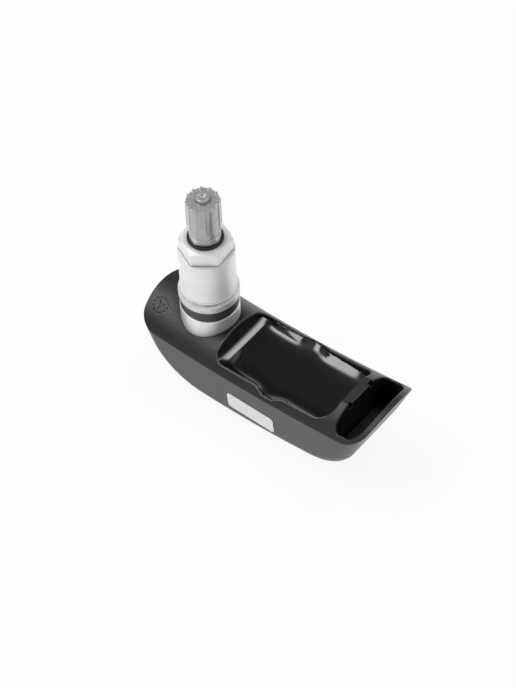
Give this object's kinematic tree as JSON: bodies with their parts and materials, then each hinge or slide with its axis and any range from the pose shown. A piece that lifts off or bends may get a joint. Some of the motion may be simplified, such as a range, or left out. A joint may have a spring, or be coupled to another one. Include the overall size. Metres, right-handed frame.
{
  "type": "tyre pressure sensor",
  "caption": "Clamp-in tyre pressure sensor: saddle-shaped black housing with potted window and end pocket, and a valve stem with rubber seal, washer, long union nut and fluted cap.",
  "frame": {"origin": "on the valve axis, in the upper face of the rubber seal, where the rim seats", "axes": "+Z along the valve, out of the rim; +X along the housing, towards its pocket end; +Y to the side away from the label plate"},
  "size_m": [0.083, 0.0271, 0.0731],
  "materials": {
    "housing_plastic": "moulded black glass-filled nylon, fine satin grain",
    "potting_resin": "poured black resin, glossy",
    "label_foil": "bare silver foil plate",
    "stem_metal": "turned and anodised aluminium, satin",
    "nut_metal": "turned and anodised aluminium, satin bright",
    "washer_metal": "pressed aluminium, matt grey",
    "seal_rubber": "moulded black rubber",
    "cap_plastic": "moulded grey plastic, satin",
    "board_laminate": "green solder resist on glass laminate",
    "cell_steel": "stamped stainless steel",
    "tab_nickel": "nickel strip",
    "chip_epoxy": "moulded black epoxy",
    "ferrite": "sintered ferrite wound with copper",
    "crystal_can": "pressed metal can",
    "core_brass": "turned brass",
    "spring_steel": "drawn spring wire"
  },
  "bodies": {
    "sensor": {"housing": "housing_plastic", "potting_resin": "potting_resin", "side_label": "label_foil", "circuit_board": "board_laminate", "coin_cell": "cell_steel", "cell_top_tab": "tab_nickel", "cell_base_tab": "tab_nickel", "pressure_chip": "chip_epoxy", "port_elbow": "seal_rubber", "crystal": "crystal_can", "wake_coil": "ferrite", "antenna_strip": "tab_nickel", "valve_stem": "stem_metal", "hollow_screw": "core_brass", "rim_seal": "seal_rubber", "mouth_ring": "seal_rubber", "core_body": "core_brass", "core_ring": "seal_rubber"},
    "washer": {"flange_washer": "washer_metal"},
    "nut": {"union_nut": "nut_metal"},
    "cap_seal": {"cap_gasket": "seal_rubber"},
    "cap": {"valve_cap": "cap_plastic"},
    "core": {"core_pin": "core_brass", "core_poppet": "seal_rubber", "core_spring": "spring_steel"}
  },
  "joints": [
    {"name": "nut_lift", "type": "slide", "parent": "sensor", "child": "washer", "axis": [0, 0, 1], "range_m": [0, 0.04001]},
    {"name": "nut_turn", "type": "hinge", "parent": "washer", "child": "nut", "pos_m": [0, 0, 0.01], "axis": [0, 0, 1], "range_deg": [0, 14400]},
    {"name": "cap_lift", "type": "slide", "parent": "sensor", "child": "cap_seal", "axis": [0, 0, 1], "range_m": [0, 0.02201]},
    {"name": "cap_turn", "type": "hinge", "parent": "cap_seal", "child": "cap", "pos_m": [0, 0, 0.035], "axis": [0, 0, 1], "range_deg": [0, 9974.8]},
    {"name": "core_press", "type": "slide", "parent": "sensor", "child": "core", "axis": [0, 0, -1], "range_m": [0, 0.0012], "stiffness_N_per_m": 2000, "springref_m": -0.0006, "deforming": ["core_spring"]}
  ],
  "couplings": [
    {"joint": "nut_lift", "follows": "nut_turn", "m_per_rad": 0.00015915},
    {"joint": "cap_lift", "follows": "cap_turn", "m_per_rad": 0.00012637}
  ]
}
